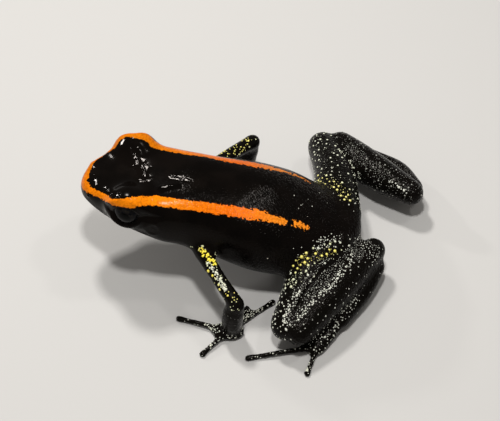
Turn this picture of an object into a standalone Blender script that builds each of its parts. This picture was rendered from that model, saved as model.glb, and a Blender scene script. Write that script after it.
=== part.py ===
"""A small striped poison frog, life size, standing on four spread limbs with its head raised.

The frog faces -X with its left side towards -Y, and it stands on the plane z = 0. Every size below is in
millimetres and is scaled to metres when a mesh is made. The head and torso are lofts along the body axis.
Each limb is a chain of tapered tubes, and each tube is cut back by a slightly larger copy of what it
grows from, so that neighbours meet face to face with the same thin gap.
"""

import math

import bmesh
import bpy
import numpy as np
from mathutils import Vector
from mathutils.bvhtree import BVHTree

MM = 0.001

# Body plan, in mm. The snout is at SNOUT_X, the vent at VENT_X, so snout to vent is about 25 mm.
GAP = 0.26
SNOUT_X = -13.12
NECK_X = -4.3
NECK_OVERLAP = 2.0
VENT_X = 11.6
TRUNK_SIDES = 32
# Sections crowd towards both ends: the k-th of END_SECTIONS lies k squared such steps in.
END_SECTIONS = 5
SNOUT_STEP = 0.1
VENT_STEP = 0.1
SECTION_STEP = 0.82
SECTION_CLEARANCE = 0.25

# Trunk profiles: (x, value) in mm. Half width, dorsal line, widest level and ventral line.
HALF_WIDTH = [(-13.12, 0.0), (-12.97, 0.74), (-12.5, 1.4), (-11.6, 2.15), (-10.6, 2.82), (-9.0, 3.45),
              (-7.2, 3.95), (-5.6, 4.3), (-4.0, 4.2), (-2.2, 4.25), (0.0, 4.6), (2.5, 4.95), (4.5, 4.95),
              (6.5, 4.45), (8.5, 3.6), (10.2, 2.6), (11.2, 1.6), (11.6, 0.0)]
BACK_LINE = [(-13.12, 8.6), (-12.7, 9.2), (-11.8, 9.75), (-10.5, 10.15), (-8.7, 10.5), (-6.5, 10.75),
             (-4.0, 10.75), (-1.0, 10.3), (2.5, 9.5), (5.0, 8.6), (7.2, 7.6), (9.5, 6.4), (11.2, 5.4),
             (11.6, 4.8)]
WIDEST_LINE = [(-13.12, 8.4), (-12.0, 8.35), (-10.0, 8.1), (-7.0, 7.5), (-4.0, 7.0), (-1.0, 6.2), (2.5, 5.4),
               (6.0, 4.8), (9.0, 4.6), (11.6, 4.6)]
BELLY_LINE = [(-13.12, 8.0), (-12.7, 7.45), (-11.8, 6.95), (-10.0, 6.3), (-8.0, 5.75), (-6.0, 5.25),
              (-4.0, 4.45), (-2.0, 3.45), (0.0, 2.45), (2.5, 1.5), (4.5, 1.15), (6.5, 1.3), (8.5, 2.0),
              (10.2, 3.0), (11.2, 3.9), (11.6, 4.4)]
# How square the upper half of each cross section is: 2 is an ellipse, more has a flatter top.
SQUARENESS = [(-13.12, 2.5), (-11.8, 3.5), (-9.5, 3.8), (-6.0, 3.4), (-3.0, 2.8), (2.0, 2.3), (11.6, 2.1)]
BELLY_SQUARENESS = 2.2
# The head is turned a few degrees to the frog's right, so the middle line drifts there ahead of the neck.
MIDDLE_LINE = [(-13.12, 0.38), (-9.0, 0.24), (-6.0, 0.05), (-4.0, 0.0), (11.6, 0.0)]

# Eyes, lids and the other marks of the face, in mm.
EYE_CENTRE = (-8.4, 2.95, 9.5)
EYE_RADIUS = 1.4
EYE_GAP = 0.2
LID_THICKNESS = 0.33
LID_STRETCH = (1.08, 1.0, 1.0)
# The brow ties each lid to the crown of the head. It is placed from the eye's centre, y inwards negative.
BROW_AT = (0.1, -0.75, -0.3)
BROW_RADII = (2.5, 2.0, 1.55)
APERTURE_SIDES = 20
APERTURE_TILT_DEG = 6.0
APERTURE_FORWARD_DEG = 12.0
APERTURE_HALF_HEIGHT_DEG = 40.0
APERTURE_HALF_LENGTH_DEG = 50.0
NOSTRIL_RADIUS = 0.17
NOSTRIL_AIM = (-12.1, 1.6, 9.0)
NOSTRIL_WAY = (-0.35, 1.0, 0.1)
MOUTH_RADIUS = 0.13
MOUTH_CORNER = (-6.6, 7.05)
MOUTH_FRONT_Z = 7.95
MOUTH_BOW = 3.2
MOUTH_HALF_STEPS = 9
MOUTH_SIDES = 6
EARDRUM_AT = (-6.35, 8.25)
EARDRUM_SIZE = (0.72, 0.14, 0.82)
# A ray towards the head starts this far out, in mm.
OUTSIDE = 12.0

# Limbs: joint centres in mm. The left side is the near one in the pose; y grows to the frog's right.
LEFT, RIGHT = "left", "right"
SIGN = {LEFT: -1.0, RIGHT: 1.0}
SHOULDER = {LEFT: (-2.9, -2.9, 6.3), RIGHT: (-2.9, 2.9, 6.3)}
ELBOW = {LEFT: (1.2, -9.05, 4.75), RIGHT: (1.3, 8.95, 4.85)}
WRIST = {LEFT: (0.75, -8.75, 0.95), RIGHT: (0.5, 9.1, 0.95)}
UPPER_ARM_BOW = (-0.3, 0.0, 0.25)
FOREARM_BOW = (-0.15, 0.0, 0.0)
# Lowered copies of the shank take away what is left of the thigh under it, and a ball does so by the hip.
UNDER_SHANK = (0.8, 1.6)
UNDER_HIP_AT = (9.7, -1.3, 1.9)
UNDER_HIP_RADII = (1.8, 2.4, 1.5)
HIP = {LEFT: (9.1, -1.2, 4.3), RIGHT: (9.3, 1.2, 4.3)}
MID_THIGH = {LEFT: (7.2, -4.9, 3.7), RIGHT: (8.85, 6.2, 3.8)}
KNEE = {LEFT: (5.5, -9.15, 2.45), RIGHT: (7.65, 10.45, 2.85)}
SHANK_TOP = {LEFT: (6.6, -9.85, 2.55), RIGHT: (9.2, 10.8, 2.9)}
MID_SHANK = {LEFT: (9.2, -6.1, 3.1), RIGHT: (12.6, 7.75, 2.9)}
HEEL = {LEFT: (12.55, -1.2, 3.1), RIGHT: (15.75, 5.75, 2.85)}
TARSUS_TOP = {LEFT: (12.85, -2.05, 1.95), RIGHT: (16.0, 7.1, 1.75)}
MID_TARSUS = {LEFT: (11.95, -4.4, 1.4), RIGHT: (14.6, 9.55, 1.3)}
ANKLE = {LEFT: (10.15, -7.4, 1.1), RIGHT: (11.8, 11.35, 0.95)}
TOE_ROOT = {LEFT: (8.2, -9.9, 0.5), RIGHT: (9.2, 12.3, 0.5)}

# Radii along each limb segment: (share of its length, radius in mm).
UPPER_ARM_RADII = [(0.0, 1.2), (0.25, 0.82), (0.6, 0.62), (0.85, 0.66), (1.0, 0.72)]
FOREARM_RADII = [(0.0, 0.76), (0.3, 0.92), (0.6, 0.97), (0.85, 0.9), (1.0, 0.8)]
THIGH_RADII = [(0.0, 2.2), (0.3, 2.05), (0.6, 1.8), (0.85, 1.55), (1.0, 1.45)]
SHANK_RADII = [(0.0, 1.25), (0.25, 1.52), (0.5, 1.62), (0.75, 1.45), (0.92, 1.22), (1.0, 1.16)]
TARSUS_RADII = [(0.0, 0.9), (0.3, 0.85), (0.7, 0.74), (1.0, 0.7)]
LIMB_SIDES = 14
LIMB_RINGS = 9
CAP_RINGS = 3

# Digits: tip places on the floor for each hand and foot, in mm, inner digit first.
FINGER_TIPS = {
    LEFT: [(4.05, -5.3), (1.85, -6.15), (-3.95, -7.6), (-1.6, -11.15)],
    RIGHT: [(3.4, 6.2), (-0.2, 6.0), (-3.9, 8.5), (0.5, 12.5)],
}
TOE_TIPS = {
    LEFT: [(8.5, -7.9), (6.7, -7.8), (5.1, -8.3), (2.35, -11.3), (7.5, -12.5)],
    RIGHT: [(10.4, 10.5), (9.6, 9.4), (8.6, 8.3), (7.55, 7.4), (7.1, 11.4)],
}
DIGIT_RADII = [(0.0, 0.4), (0.25, 0.31), (0.5, 0.28), (0.72, 0.27), (0.86, 0.28), (0.93, 0.36), (1.0, 0.36)]
DIGIT_FLATNESS = 0.95
DIGIT_ROOT_Z = 0.42
DIGIT_MIDDLE_Z = 0.38
DIGIT_TIP_Z = 0.19
DIGIT_SIDES = 8
DIGIT_RINGS = 7
PALM_OFFSET = (-0.33, 0.0)
PALM_RADII = (1.5, 0.95, 0.6)
PALM_FACES = (14, 8)
SOLE_RADII = [(0.0, 0.6), (0.5, 0.68), (1.0, 0.8)]
SOLE_FLATNESS = 0.8
SOLE_SIDES = 12
SOLE_RINGS = 5

# Loops that lie closer than this, in mm, are welded after a cut. Shading turns sharp past this angle.
WELD = 0.002
SHARP_DEG = 40.0
# Balls: how many columns and rows of faces.
BALL = (20, 12)
SMALL_BALL = (12, 8)
TINY_BALL = (8, 6)

# Plain finishes: colour and roughness.
HEAD_FINISH = ((0.012, 0.011, 0.011, 1.0), 0.25)
TORSO_FINISH = ((0.012, 0.011, 0.011, 1.0), 0.4)
LIMB_FINISH = ((0.03, 0.033, 0.03, 1.0), 0.4)
EYE_FINISH = ((0.004, 0.003, 0.003, 1.0), 0.05)


def clear_scene():
    for obj in list(bpy.data.objects):
        bpy.data.objects.remove(obj)


def profile(table):
    """A smooth curve through the table's points that never swings past them."""
    xs = np.array([p[0] for p in table], float)
    ys = np.array([p[1] for p in table], float)
    steps = np.diff(xs)
    slopes = np.diff(ys) / steps
    tangents = np.zeros(len(xs))
    tangents[0], tangents[-1] = slopes[0], slopes[-1]
    for i in range(1, len(xs) - 1):
        if slopes[i - 1] * slopes[i] > 0:
            tangents[i] = 2.0 / (1.0 / slopes[i - 1] + 1.0 / slopes[i])

    def value(x):
        i = int(np.clip(np.searchsorted(xs, x) - 1, 0, len(xs) - 2))
        t = min(max((x - xs[i]) / steps[i], 0.0), 1.0)
        a = (1 + 2 * t) * (1 - t) ** 2 * ys[i] + t * (1 - t) ** 2 * steps[i] * tangents[i]
        b = t * t * (3 - 2 * t) * ys[i + 1] + t * t * (t - 1) * steps[i] * tangents[i + 1]
        return float(a + b)

    return value


half_width = profile(HALF_WIDTH)
back_line = profile(BACK_LINE)
widest_line = profile(WIDEST_LINE)
belly_line = profile(BELLY_LINE)
squareness = profile(SQUARENESS)
middle_line = profile(MIDDLE_LINE)


def power(value, exponent):
    return math.copysign(abs(value) ** exponent, value)


def trunk_ring(x, grow):
    """One cross section of head or torso at x: square shouldered above, rounder below, grown by a margin."""
    width = half_width(x) + grow
    middle = widest_line(x)
    above = back_line(x) + grow - middle
    below = middle - belly_line(x) + grow
    ring = []
    for i in range(TRUNK_SIDES):
        angle = 2 * math.pi * i / TRUNK_SIDES
        side, rise = math.cos(angle), math.sin(angle)
        shape = squareness(x) if rise >= 0 else BELLY_SQUARENESS
        reach = above if rise >= 0 else below
        across = middle_line(x) + width * power(side, 2 / shape)
        ring.append(Vector((x, across, middle + reach * power(rise, 2 / shape))))
    return ring


def loft(name, rings, start_pole=None, end_pole=None):
    """A closed skin over a row of rings in mm, each end closed by a flat cap or by a fan to a pole."""
    mesh = bmesh.new()
    rows = [[mesh.verts.new(p * MM) for p in ring] for ring in rings]
    count = len(rows[0])
    for first, second in zip(rows, rows[1:]):
        for i in range(count):
            j = (i + 1) % count
            mesh.faces.new((first[i], first[j], second[j], second[i]))
    for row, pole in ((rows[0], start_pole), (rows[-1], end_pole)):
        if pole is None:
            mesh.faces.new(row)
            continue
        tip = mesh.verts.new(pole * MM)
        for i in range(count):
            mesh.faces.new((row[i], row[(i + 1) % count], tip))
    bmesh.ops.recalc_face_normals(mesh, faces=mesh.faces)
    return make_object(name, mesh)


def make_object(name, mesh):
    data = bpy.data.meshes.new(name)
    mesh.to_mesh(data)
    mesh.free()
    obj = bpy.data.objects.new(name, data)
    bpy.context.scene.collection.objects.link(obj)
    return obj


def drop(obj):
    bpy.data.objects.remove(obj)


def cut(obj, other):
    """Cuts the other object out of obj and removes it."""
    step = obj.modifiers.new("cut", "BOOLEAN")
    step.operation = "DIFFERENCE"
    step.solver = "EXACT"
    step.object = other
    bake(obj)
    drop(other)


def union_all(obj, pieces):
    """Joins a collection of closed pieces to obj with one Boolean union, then removes them."""
    group = bpy.data.collections.new("pieces")
    for piece in pieces:
        group.objects.link(piece)
    step = obj.modifiers.new("join", "BOOLEAN")
    step.operation = "UNION"
    step.solver = "EXACT"
    step.operand_type = "COLLECTION"
    step.collection = group
    bake(obj)
    for piece in pieces:
        drop(piece)
    bpy.data.collections.remove(group)


def bake(obj):
    """Replaces the object's mesh by its evaluated one and clears its modifiers."""
    bpy.context.view_layer.update()
    graph = bpy.context.evaluated_depsgraph_get()
    made = bpy.data.meshes.new_from_object(obj.evaluated_get(graph))
    obj.modifiers.clear()
    obj.data = made


def keep_largest(obj):
    """Keeps only the closed surface with the most volume, which drops scraps that a cut leaves."""
    mesh = bmesh.new()
    mesh.from_mesh(obj.data)
    bmesh.ops.remove_doubles(mesh, verts=mesh.verts, dist=WELD * MM)
    bmesh.ops.triangulate(mesh, faces=mesh.faces)
    unseen, islands = set(mesh.faces), []
    while unseen:
        island, front = [], [unseen.pop()]
        while front:
            face = front.pop()
            island.append(face)
            for edge in face.edges:
                for near in edge.link_faces:
                    if near in unseen:
                        unseen.discard(near)
                        front.append(near)
        islands.append(island)
    if len(islands) > 1:
        def volume(island):
            total = 0.0
            for face in island:
                a, b, c = (v.co for v in face.verts)
                total += a.dot(b.cross(c))
            return total

        islands.sort(key=volume)
        loose = [face for island in islands[:-1] for face in island]
        bmesh.ops.delete(mesh, geom=loose, context="FACES")
    mesh.to_mesh(obj.data)
    mesh.free()


def trunk_piece(name, start, end, grow=0.0):
    """The stretch of trunk from start to end. An end that lies past the snout or vent closes in a pole."""
    steps = range(1, END_SECTIONS + 1)
    stations = [SNOUT_X + SNOUT_STEP * k * k for k in steps]
    middle_start = stations[-1] + SECTION_STEP
    tail = [VENT_X - VENT_STEP * k * k for k in reversed(steps)]
    stations += list(np.arange(middle_start, tail[0] - SECTION_CLEARANCE, SECTION_STEP))
    stations += tail
    inside = [x for x in stations if start + SECTION_CLEARANCE < x < end - SECTION_CLEARANCE]
    if start > SNOUT_X:
        inside.insert(0, start)
    if end < VENT_X:
        inside.append(end)
    rings = [trunk_ring(x, grow) for x in inside]
    first = last = None
    if start <= SNOUT_X:
        first = Vector((SNOUT_X - grow, middle_line(SNOUT_X), widest_line(SNOUT_X)))
    if end >= VENT_X:
        last = Vector((VENT_X + grow, middle_line(VENT_X), widest_line(VENT_X)))
    return loft(name, rings, first, last)


def ellipsoid(name, centre, radii, faces=BALL):
    mesh = bmesh.new()
    bmesh.ops.create_uvsphere(mesh, u_segments=faces[0], v_segments=faces[1], radius=1.0)
    for vert in mesh.verts:
        vert.co = Vector([(c + r * v) * MM for c, r, v in zip(centre, radii, vert.co)])
    return make_object(name, mesh)


def curve_points(points, shares):
    """Points at those shares along a smooth curve through the given joints."""
    points = [Vector(p) for p in points]
    lengths = [0.0]
    for a, b in zip(points, points[1:]):
        lengths.append(lengths[-1] + (b - a).length)
    axes = [profile([(s, p[k]) for s, p in zip(lengths, points)]) for k in range(3)]
    if len(points) == 2:
        return [points[0].lerp(points[1], share) for share in shares]
    return [Vector([axis(share * lengths[-1]) for axis in axes]) for share in shares]


def tube(name, joints, radii, sides=LIMB_SIDES, rings=LIMB_RINGS, grow=0.0, flat=1.0, side_hint=(0, 0, 1)):
    """A tapered limb segment with round ends through its joints. flat under 1 makes it wider than high."""
    radius = profile(radii)
    ends = [Vector(joints[0]), Vector(joints[-1])]
    reach = [radius(0.0) + grow, radius(1.0) + grow]
    inner = [k / (rings - 1) for k in range(rings)]
    path = curve_points(joints, inner)
    out = [(ends[0] - path[1]).normalized(), (ends[1] - path[-2]).normalized()]
    sections = []
    for k in range(1, CAP_RINGS):
        angle = math.pi / 2 * k / CAP_RINGS
        sections.append((ends[0] + out[0] * reach[0] * math.cos(angle), reach[0] * math.sin(angle)))
    sections += [(point, radius(share) + grow) for point, share in zip(path, inner)]
    for k in range(CAP_RINGS - 1, 0, -1):
        angle = math.pi / 2 * k / CAP_RINGS
        sections.append((ends[1] + out[1] * reach[1] * math.cos(angle), reach[1] * math.sin(angle)))
    centres = [point for point, _ in sections]
    loops = []
    for k, (point, size) in enumerate(sections):
        along = (centres[min(k + 1, len(centres) - 1)] - centres[max(k - 1, 0)]).normalized()
        across = along.cross(Vector(side_hint)).normalized()
        rise = across.cross(along)
        loop = []
        for i in range(sides):
            angle = 2 * math.pi * i / sides
            loop.append(point + across * size * math.cos(angle) + rise * size * flat * math.sin(angle))
        loops.append(loop)
    tips = [ends[0] + out[0] * reach[0], ends[1] + out[1] * reach[1]]
    return loft(name, loops, tips[0], tips[1])


def stand_on_floor(obj):
    """Presses flat on the floor plane whatever would reach below it."""
    for vert in obj.data.vertices:
        vert.co.z = max(vert.co.z, 0.0)


def paint(obj, name, finish):
    colour, roughness = finish
    material = bpy.data.materials.new(name)
    material.use_nodes = True
    shader = material.node_tree.nodes["Principled BSDF"]
    shader.inputs["Base Color"].default_value = colour
    shader.inputs["Roughness"].default_value = roughness
    shader.inputs["Metallic"].default_value = 0.0
    obj.data.materials.clear()
    obj.data.materials.append(material)
    obj.data.shade_smooth()
    obj.data.set_sharp_from_angle(angle=math.radians(SHARP_DEG))


def on_side(side, place):
    """A place given for the right half of the head, moved to that side of its middle line."""
    x, y, z = place
    return Vector((x, middle_line(x) + SIGN[side] * y, z))


def eye_centre(side):
    return on_side(side, EYE_CENTRE)


def aperture(side):
    """The almond cone from the eye's centre that opens the lids."""
    tilt = math.radians(APERTURE_TILT_DEG)
    turn = math.radians(APERTURE_FORWARD_DEG)
    y = SIGN[side]
    axis = Vector((-math.sin(turn) * math.cos(tilt), y * math.cos(turn) * math.cos(tilt), math.sin(tilt)))
    along = axis.cross(Vector((0, 0, 1))).normalized()
    rise = along.cross(axis).normalized()
    centre = eye_centre(side)
    reach = 2 * EYE_RADIUS
    half_length = reach * math.tan(math.radians(APERTURE_HALF_LENGTH_DEG))
    half_height = reach * math.tan(math.radians(APERTURE_HALF_HEIGHT_DEG))
    ring = []
    for i in range(APERTURE_SIDES):
        angle = 2 * math.pi * i / APERTURE_SIDES
        ring.append(centre + axis * reach + along * half_length * math.cos(angle)
                    + rise * half_height * math.sin(angle))
    return loft("aperture", [ring], centre, centre + axis * reach)


def surface_of(obj):
    """A tree for finding points on the object's surface."""
    mesh = bmesh.new()
    mesh.from_mesh(obj.data)
    tree = BVHTree.FromBMesh(mesh)
    mesh.free()
    return tree


def on_surface(tree, start, direction):
    """The point in mm where a ray in mm meets the surface, with its normal."""
    hit, normal, _, _ = tree.ray_cast(Vector(start) * MM, Vector(direction).normalized())
    return hit / MM, normal


def mouth_path(tree):
    """Points of the lip line, from the left corner of the mouth round the snout to the right corner."""
    corner_x, corner_z = MOUTH_CORNER
    front_x = SNOUT_X + MOUTH_BOW
    points = []
    for k in range(-MOUTH_HALF_STEPS, MOUTH_HALF_STEPS + 1):
        share = abs(k) / MOUTH_HALF_STEPS
        angle = share * math.pi / 2
        centre_x = front_x + (corner_x - front_x) * share ** 2
        height = MOUTH_FRONT_Z + (corner_z - MOUTH_FRONT_Z) * share
        way = Vector((-math.cos(angle), math.copysign(math.sin(angle), k), 0.0))
        start = Vector((centre_x, middle_line(centre_x), height)) + way * OUTSIDE
        points.append(on_surface(tree, start, -way)[0])
    return points


def build_head():
    """Head with eye bulges, cut open for the eyes, the lip line, nostrils and raised eardrums."""
    head = trunk_piece("head", SNOUT_X, NECK_X - GAP / 2)
    socket = EYE_RADIUS + EYE_GAP
    lid = socket + LID_THICKNESS
    skin = surface_of(head)
    raised = []
    for side in (LEFT, RIGHT):
        y = SIGN[side]
        raised.append(ellipsoid("lid", eye_centre(side), [lid * s for s in LID_STRETCH]))
        brow = eye_centre(side) + Vector((BROW_AT[0], y * BROW_AT[1], BROW_AT[2]))
        raised.append(ellipsoid("brow", brow, BROW_RADII))
        drum = on_surface(skin, (EARDRUM_AT[0], y * OUTSIDE, EARDRUM_AT[1]), (0, -y, 0))[0]
        raised.append(ellipsoid("eardrum", drum, EARDRUM_SIZE, SMALL_BALL))
    lips = mouth_path(skin)
    union_all(head, raised)
    lip_rings = 4 * MOUTH_HALF_STEPS + 1
    cut(head, tube("lip_line", lips, [(0, MOUTH_RADIUS), (1, MOUTH_RADIUS)], MOUTH_SIDES, lip_rings))
    for side in (LEFT, RIGHT):
        cut(head, ellipsoid("socket", eye_centre(side), [socket] * 3))
        cut(head, aperture(side))
        way = Vector((NOSTRIL_WAY[0], SIGN[side] * NOSTRIL_WAY[1], NOSTRIL_WAY[2]))
        pit = on_surface(skin, on_side(side, NOSTRIL_AIM) + way * OUTSIDE, -way)[0]
        cut(head, ellipsoid("nostril", pit, [NOSTRIL_RADIUS] * 3, TINY_BALL))
    keep_largest(head)
    return head


def build_eye(side):
    return ellipsoid("eye_" + side, eye_centre(side), [EYE_RADIUS] * 3)


def bowed(start, end, bow):
    """The joints of a segment whose middle is moved aside by the bow."""
    return [start, Vector(start).lerp(Vector(end), 0.5) + Vector(bow), end]


def upper_arm(side, grow=0.0):
    joints = bowed(SHOULDER[side], ELBOW[side], UPPER_ARM_BOW)
    return tube("upper_arm_" + side, joints, UPPER_ARM_RADII, grow=grow)


def forearm(side, grow=0.0):
    joints = bowed(ELBOW[side], WRIST[side], FOREARM_BOW)
    return tube("forearm_" + side, joints, FOREARM_RADII, grow=grow, side_hint=(1, 0, 0))


def thigh(side, grow=0.0):
    return tube("thigh_" + side, [HIP[side], MID_THIGH[side], KNEE[side]], THIGH_RADII, grow=grow)


def shank(side, grow=0.0, lower=0.0):
    joints = [Vector(joint) - Vector((0, 0, lower)) for joint in (SHANK_TOP[side], MID_SHANK[side], HEEL[side])]
    return tube("shank_" + side, joints, SHANK_RADII, grow=grow)


def tarsus(side, grow=0.0):
    return tube("tarsus_" + side, [TARSUS_TOP[side], MID_TARSUS[side], ANKLE[side]], TARSUS_RADII, grow=grow)


def digit(root, tip):
    """One finger or toe from its root to its flat pad on the floor, both given in plan."""
    start, end = Vector((*root, DIGIT_ROOT_Z)), Vector((*tip, DIGIT_TIP_Z))
    middle = start.lerp(end, 0.5)
    middle.z = DIGIT_MIDDLE_Z
    return tube("digit", [start, middle, end], DIGIT_RADII, DIGIT_SIDES, DIGIT_RINGS, flat=DIGIT_FLATNESS)


def palm_middle(side):
    return WRIST[side][0] + PALM_OFFSET[0], WRIST[side][1] + PALM_OFFSET[1]


def palm(side, grow=0.0):
    radii = [r + grow for r in PALM_RADII]
    return ellipsoid("hand_" + side, (*palm_middle(side), DIGIT_ROOT_Z), radii, PALM_FACES)


def build_hand(side):
    """Palm with four fingers, joined in one body with flats on the floor."""
    hand = palm(side)
    union_all(hand, [digit(palm_middle(side), tip) for tip in FINGER_TIPS[side]])
    stand_on_floor(hand)
    return hand


def build_foot(side):
    """Sole with five toes, joined in one body with flats on the floor."""
    joints = [ANKLE[side], TOE_ROOT[side]]
    foot = tube("foot_" + side, joints, SOLE_RADII, SOLE_SIDES, SOLE_RINGS, flat=SOLE_FLATNESS)
    union_all(foot, [digit(TOE_ROOT[side][:2], tip) for tip in TOE_TIPS[side]])
    stand_on_floor(foot)
    return foot


def cut_back(obj, *neighbours):
    """Cuts obj back from slightly larger copies of its neighbours and drops the loose scraps of each cut."""
    for neighbour in neighbours:
        cut(obj, neighbour)
        keep_largest(obj)
    return obj


def trunk_margin():
    """The torso and the back of the head, larger by the gap, for cutting the limbs back."""
    return trunk_piece("trunk_margin", NECK_X - NECK_OVERLAP, VENT_X, GAP)


def build_leg(side):
    """Thigh, shank, tarsus and foot, each cut back from what it lies against."""
    under = [shank(side, GAP, lower) for lower in UNDER_SHANK]
    if side == LEFT:
        under.append(ellipsoid("under_hip", UNDER_HIP_AT, UNDER_HIP_RADII))
    return [
        cut_back(thigh(side), trunk_margin(), shank(side, GAP), *under),
        cut_back(shank(side), trunk_margin()),
        cut_back(tarsus(side), shank(side, GAP), thigh(side, GAP)),
        cut_back(build_foot(side), tarsus(side, GAP), shank(side, GAP), thigh(side, GAP)),
    ]


def build_arm(side):
    """Upper arm, forearm and hand, each cut back from what it grows from."""
    return [
        cut_back(upper_arm(side), trunk_margin()),
        cut_back(forearm(side), upper_arm(side, GAP), palm(side, GAP)),
        build_hand(side),
    ]


def build_frog():
    parts = [build_head(), trunk_piece("torso", NECK_X + GAP / 2, VENT_X)]
    paint(parts[0], "head_skin", HEAD_FINISH)
    paint(parts[1], "torso_skin", TORSO_FINISH)
    for side in (LEFT, RIGHT):
        eye = build_eye(side)
        paint(eye, eye.name + "_gloss", EYE_FINISH)
        limbs = build_arm(side) + build_leg(side)
        for piece in limbs:
            paint(piece, piece.name + "_skin", LIMB_FINISH)
        parts += [eye] + limbs
    return parts


def centre_on_floor(parts):
    """Moves the frog so that the middle of its outline, seen from above, is over the origin."""
    corners = np.array([v.co for piece in parts for v in piece.data.vertices])
    middle = (corners.min(axis=0) + corners.max(axis=0)) / 2
    for piece in parts:
        for vert in piece.data.vertices:
            vert.co -= Vector((middle[0], middle[1], 0.0))


def gather(parts):
    group = bpy.data.collections.new("frog")
    bpy.context.scene.collection.children.link(group)
    for piece in parts:
        bpy.context.scene.collection.objects.unlink(piece)
        group.objects.link(piece)


clear_scene()
frog = build_frog()
centre_on_floor(frog)
gather(frog)
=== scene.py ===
"""The looks of a small striped poison frog: one wet black skin, orange stripes, pale granules and dark eyes.

Places are written in millimetres in the frog's own plan: x grows towards its rear, y towards its right side
and z up from the floor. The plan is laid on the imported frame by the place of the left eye. The skin is drawn
over the frame's solids, smoothed, and then given its lids, lips, nostrils, eardrums and folds by moves of its
points.
"""

import math

import bmesh
import bpy
import numpy as np
from mathutils import Matrix, Vector
from mathutils.bvhtree import BVHTree


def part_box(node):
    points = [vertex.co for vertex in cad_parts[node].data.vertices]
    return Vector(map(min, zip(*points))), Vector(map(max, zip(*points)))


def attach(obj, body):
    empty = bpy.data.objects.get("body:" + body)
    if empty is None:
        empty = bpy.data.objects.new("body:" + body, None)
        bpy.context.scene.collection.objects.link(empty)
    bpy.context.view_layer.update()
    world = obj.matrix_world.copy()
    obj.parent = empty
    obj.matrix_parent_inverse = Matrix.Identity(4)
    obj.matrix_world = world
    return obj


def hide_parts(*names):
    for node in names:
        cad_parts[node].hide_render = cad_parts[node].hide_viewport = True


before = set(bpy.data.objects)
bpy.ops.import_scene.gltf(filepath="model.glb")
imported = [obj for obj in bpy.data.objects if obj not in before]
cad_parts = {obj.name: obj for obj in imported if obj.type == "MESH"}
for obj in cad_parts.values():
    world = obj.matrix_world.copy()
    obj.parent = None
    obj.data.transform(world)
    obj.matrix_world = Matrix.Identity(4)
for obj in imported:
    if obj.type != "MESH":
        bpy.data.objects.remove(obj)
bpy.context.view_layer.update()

MM = 0.001
# Which way y points from the middle on each side, and the place of the left eye in the plan.
SIGN = {"left": -1.0, "right": 1.0}
LEFT_EYE = Vector((-8.4, -2.75, 9.5))

# The camera, high on the frog's left, in degrees and mm.
VIEW_ELEVATION = 52.0
VIEW_AZIMUTH = 4.0
VIEW_DISTANCE = 190.0
VIEW_AIM = Vector((1.7, 0.0, 6.3))
PIXELS_PER_MM = 11.5
PICTURE_WIDTH = 500
SENSOR = 36.0
NEAREST_SHOWN = 5.0

# How the skin is drawn over the solids: the swelling that joins them, the fineness of the skin's grid, and the
# balls under the lids and brows.
WELD = 0.002
SWELL = 0.17
DIGIT_SHRINK = 0.05
VOXEL = 0.16
BALL_FINENESS = 4
LID_RADIUS = 2.05
LID_SHIFT = {"left": Vector((0.0, 0.0, 0.0)), "right": Vector((-0.15, 0.17, 0.08))}
BROW_AT = (0.1, -0.75, -0.3)
BROW_RADII = (2.5, 2.0, 1.55)

# How fine a form each part of the body keeps, how many rounds fill its creases, and how strong each round is.
TRUNK_SOFTNESS = 0.7
LIMB_SOFTNESS = 0.32
DIGIT_SOFTNESS = 0.12
TRUNK_FILLINGS = 60
LIMB_FILLINGS = 14
DIGIT_FILLINGS = 3
BLUR_PULL = 0.9
FILLING_PULL = 0.5

# The grooves between these parts of a leg stay sharp, apart from the knees, which stay round.
GROOVED = (("thigh_", "shank_"), ("shank_", "thigh_"), ("shank_", "tarsus_"), ("tarsus_", "shank_"))
GROOVE_REACH = 0.45
GROOVE_EDGE_ROUNDS = 3
KNEES = ((5.8, -9.9, 3.0), (8.9, 10.5, 3.0))
KNEE_REACH = 2.6

# The eyes. Angles are in degrees, seen from the eye's centre.
EYE_RADIUS = 1.42
CORNEA_BULGE = 0.1
CORNEA_EDGE = 48.0
IRIS_EDGE = 50.0
EYE_TILT = 6.0
EYE_FORWARD = 12.0
OPENING_HALF_LENGTH = 50.0
OPENING_HALF_HEIGHT = 40.0

# The lids. Zones are measured from the middle of the opening, whose edge is at 1. Past the eye's region, all
# is outside.
SOCKET_RADIUS = 1.2
SOCKET_RIM = (0.93, 1.02)
LID_EDGE_RADIUS = 1.5
LID_LIP = 0.1
LID_LIP_RISE = (1.0, 1.16)
UPPER_LID = 0.27
UPPER_LID_RISE = (0.0, 0.8)
LID_BLEND_START = 1.08
LID_REACH = 1.75
LID_FINE_ZONES = ((0.7, 1.4), (0.86, 1.22))
EYE_REGION = 3.2
OUTSIDE = 9.0

# The face. The head is turned a little to its right: the x of places on its middle line, and their y.
SNOUT_X = -13.12
MIDDLE_LINE = ((SNOUT_X, -9.0, -6.0, -4.0), (0.38, 0.24, 0.05, 0.0))
MOUTH_CORNER = (-6.6, 7.05)
MOUTH_FRONT_Z = 7.95
MOUTH_FADE = (0.3, -0.6)
LIP_GROOVE = 0.1
LIP_GROOVE_WIDTH = 0.09
LIP_SWELL = 0.05
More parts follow.
